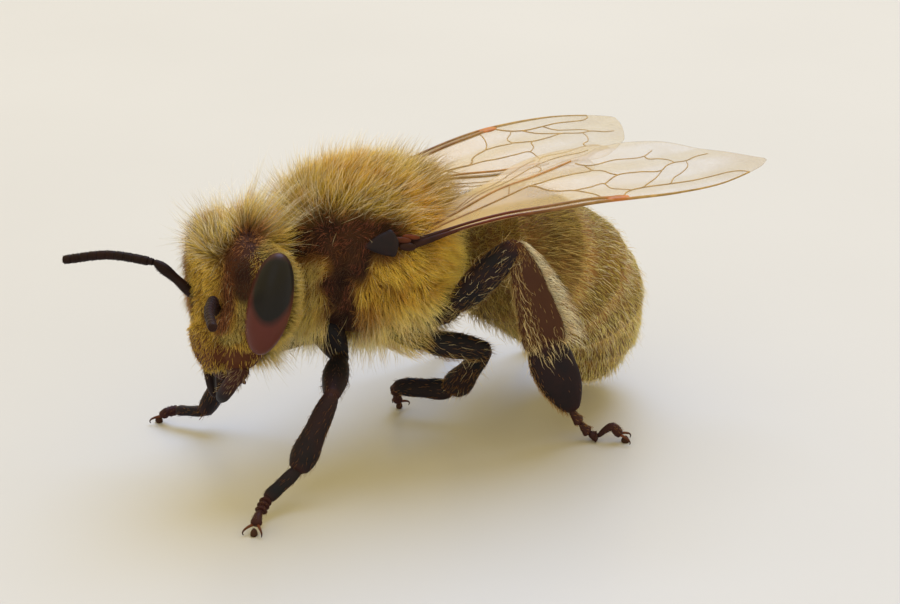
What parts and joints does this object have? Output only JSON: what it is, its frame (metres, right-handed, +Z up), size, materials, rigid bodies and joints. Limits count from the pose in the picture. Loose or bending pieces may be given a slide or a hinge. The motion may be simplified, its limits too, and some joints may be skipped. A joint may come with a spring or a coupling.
{
  "type": "honey bee model",
  "caption": "Life-size still model of a worker honey bee standing with its wings folded back, one middle leg tucked under and its abdomen curved down.",
  "frame": {"origin": "point of the floor under the middle of the whole bee", "axes": "the bee heads towards -Y, its left side is +X, +Z is up, and its feet stand on z = 0"},
  "size_m": [0.0074, 0.0156, 0.0072],
  "materials": {
    "coat_olive": "olive and golden hair over brown cuticle",
    "coat_brown": "short brown hair with pale bands over dark cuticle",
    "cuticle_black": "near-black satin cuticle with dark red edges",
    "cuticle_brown": "dark reddish-brown satin cuticle",
    "eye_black": "black faceted eye, reddish-brown below",
    "wing_clear": "clear amber-tinted membrane with brown veins"
  },
  "bodies": {
    "root": {"head": "coat_olive", "eye_left": "eye_black", "eye_right": "eye_black", "thorax": "coat_olive", "neck": "cuticle_brown", "waist": "cuticle_brown", "abdomen_1": "coat_olive", "abdomen_2": "coat_olive", "abdomen_3": "coat_brown", "abdomen_4": "coat_brown", "abdomen_5": "coat_brown", "abdomen_6": "coat_brown", "antenna_scape_left": "cuticle_black", "antenna_flagellum_left": "cuticle_black", "antenna_scape_right": "cuticle_black", "antenna_flagellum_right": "cuticle_black", "mandible_left": "cuticle_brown", "mandible_right": "cuticle_brown", "tongue": "cuticle_brown", "leg_front_left_coxa": "cuticle_brown", "leg_front_left_femur": "cuticle_black", "leg_front_left_tibia": "cuticle_black", "leg_front_left_basitarsus": "cuticle_black", "leg_front_left_tarsus": "cuticle_black", "leg_front_right_coxa": "cuticle_brown", "leg_front_right_femur": "cuticle_black", "leg_front_right_tibia": "cuticle_black", "leg_front_right_basitarsus": "cuticle_black", "leg_front_right_tarsus": "cuticle_black", "leg_middle_left_coxa": "cuticle_brown", "leg_middle_left_femur": "cuticle_black", "leg_middle_left_tibia": "cuticle_black", "leg_middle_left_basitarsus": "cuticle_black", "leg_middle_left_tarsus": "cuticle_black", "leg_middle_right_coxa": "cuticle_brown", "leg_middle_right_femur": "cuticle_black", "leg_middle_right_tibia": "cuticle_black", "leg_middle_right_basitarsus": "cuticle_black", "leg_middle_right_tarsus": "cuticle_black", "leg_hind_left_coxa": "cuticle_brown", "leg_hind_left_femur": "cuticle_black", "leg_hind_left_tibia": "cuticle_black", "leg_hind_left_basitarsus": "cuticle_black", "leg_hind_left_tarsus": "cuticle_black", "leg_hind_right_coxa": "cuticle_brown", "leg_hind_right_femur": "cuticle_black", "leg_hind_right_tibia": "cuticle_black", "leg_hind_right_basitarsus": "cuticle_black", "leg_hind_right_tarsus": "cuticle_black", "forewing_left": "wing_clear", "hindwing_left": "wing_clear", "tegula_left": "cuticle_brown", "forewing_right": "wing_clear", "hindwing_right": "wing_clear", "tegula_right": "cuticle_brown"}
  },
  "joints": []
}
